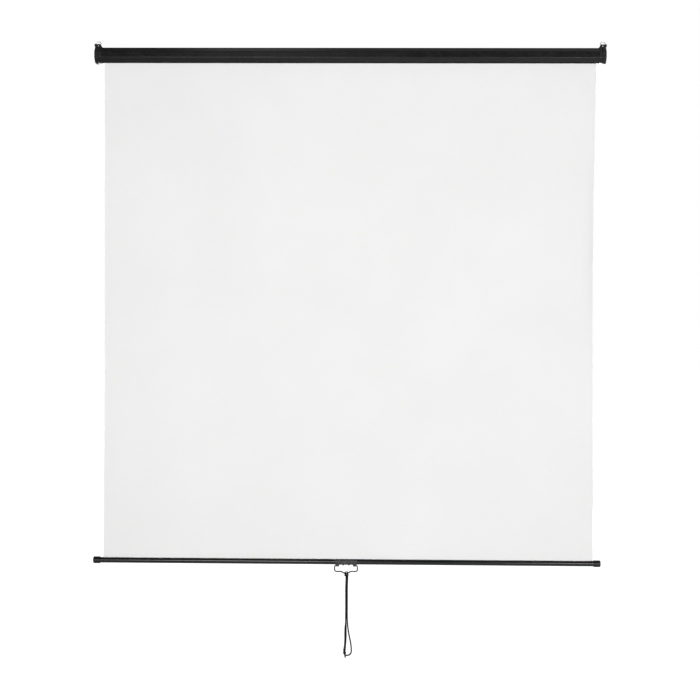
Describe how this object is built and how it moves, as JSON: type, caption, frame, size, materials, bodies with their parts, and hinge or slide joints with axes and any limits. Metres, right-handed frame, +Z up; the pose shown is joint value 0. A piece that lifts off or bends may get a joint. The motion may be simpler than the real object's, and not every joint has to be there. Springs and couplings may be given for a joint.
{
  "type": "roller projection screen",
  "caption": "Hanging roller projection screen: octagonal case with spring roller, white cloth, round weight bar, wire pull handle and cord.",
  "frame": {"origin": "midway between the two hanging rings, on the line where the hooks bear inside the rings", "axes": "+X to the right seen from the front, +Y away from the viewer towards the wall, +Z up"},
  "size_m": [1.6176, 0.054, 1.949],
  "materials": {
    "case": "satin black paint",
    "end_cap": "moulded black",
    "screw": "zinc plated",
    "ring": "bright zinc",
    "roller": "plain drawn tube",
    "cloth": "matt white coated cloth",
    "plug": "moulded grey",
    "steel": "plain steel",
    "spring": "oiled spring steel",
    "bush": "natural nylon",
    "bar": "satin black paint",
    "rod": "extruded grey",
    "bar_cap": "moulded black",
    "saddle": "moulded dark grey, grained",
    "saddle_screw": "blackened steel",
    "handle": "dark grey coated wire",
    "cord": "black braid"
  },
  "bodies": {
    "case": {"case_shell": "case", "left_end_cap": "end_cap", "right_end_cap": "end_cap", "end_cap_screws": "screw", "spindle": "steel", "ratchet_collar": "steel", "spring_anchor": "plug", "idle_bush": "bush", "screen_cloth": "cloth"},
    "roller": {"roller_tube": "roller", "wound_cloth": "cloth", "spring_end_plug": "plug", "pawl_pins": "steel", "torsion_spring": "spring", "idle_plug": "plug", "idle_gudgeon": "steel"},
    "upper_pawl": {"upper_pawl": "steel"},
    "lower_pawl": {"lower_pawl": "steel"},
    "bar": {"weight_bar": "bar", "hem_rod": "rod", "left_bar_cap": "bar_cap", "right_bar_cap": "bar_cap", "handle_saddle": "saddle", "saddle_screws": "saddle_screw"},
    "handle": {"pull_handle": "handle"},
    "pull_cord": {"cord_hitch": "cord", "cord_left_strand": "cord", "cord_right_strand": "cord", "cord_end_knot": "cord"},
    "left_ring": {"left_hanging_ring": "ring"},
    "right_ring": {"right_hanging_ring": "ring"}
  },
  "joints": [
    {"name": "screen_pull", "type": "slide", "parent": "case", "child": "bar", "axis": [0, 0, 1], "range_m": [0, 1.56], "deforming": ["screen_cloth"]},
    {"name": "roller_spin", "type": "hinge", "parent": "case", "child": "roller", "pos_m": [0, 0.00469, -0.0408], "axis": [-1, 0, 0], "range_deg": [0, 6300]},
    {"name": "upper_pawl_swing", "type": "hinge", "parent": "roller", "child": "upper_pawl", "pos_m": [-0.7858, 0.00469, -0.0316], "axis": [-1, 0, 0], "range_deg": [0, 20]},
    {"name": "lower_pawl_swing", "type": "hinge", "parent": "roller", "child": "lower_pawl", "pos_m": [-0.7858, 0.00469, -0.05], "axis": [-1, 0, 0], "range_deg": [0, 20]},
    {"name": "handle_swing", "type": "hinge", "parent": "bar", "child": "handle", "pos_m": [-0.004, -0.00689, -1.65365], "axis": [1, 0, 0], "range_deg": [-90, 90]},
    {"name": "cord_swing", "type": "hinge", "parent": "handle", "child": "pull_cord", "pos_m": [-0.004, -0.00689, -1.67965], "axis": [1, 0, 0], "range_deg": [-90, 90]},
    {"name": "left_ring_swing", "type": "hinge", "parent": "case", "child": "left_ring", "pos_m": [-0.7965, 0, -0.0072], "axis": [1, 0, 0], "range_deg": [-90, 30]},
    {"name": "right_ring_swing", "type": "hinge", "parent": "case", "child": "right_ring", "pos_m": [0.7965, 0, -0.0072], "axis": [1, 0, 0], "range_deg": [-90, 30]}
  ],
  "couplings": [
    {"joint": "roller_spin", "follows": "screen_pull", "rad_per_m": 70.484},
    {"joint": "cord_swing", "follows": "handle_swing", "ratio": -1}
  ]
}
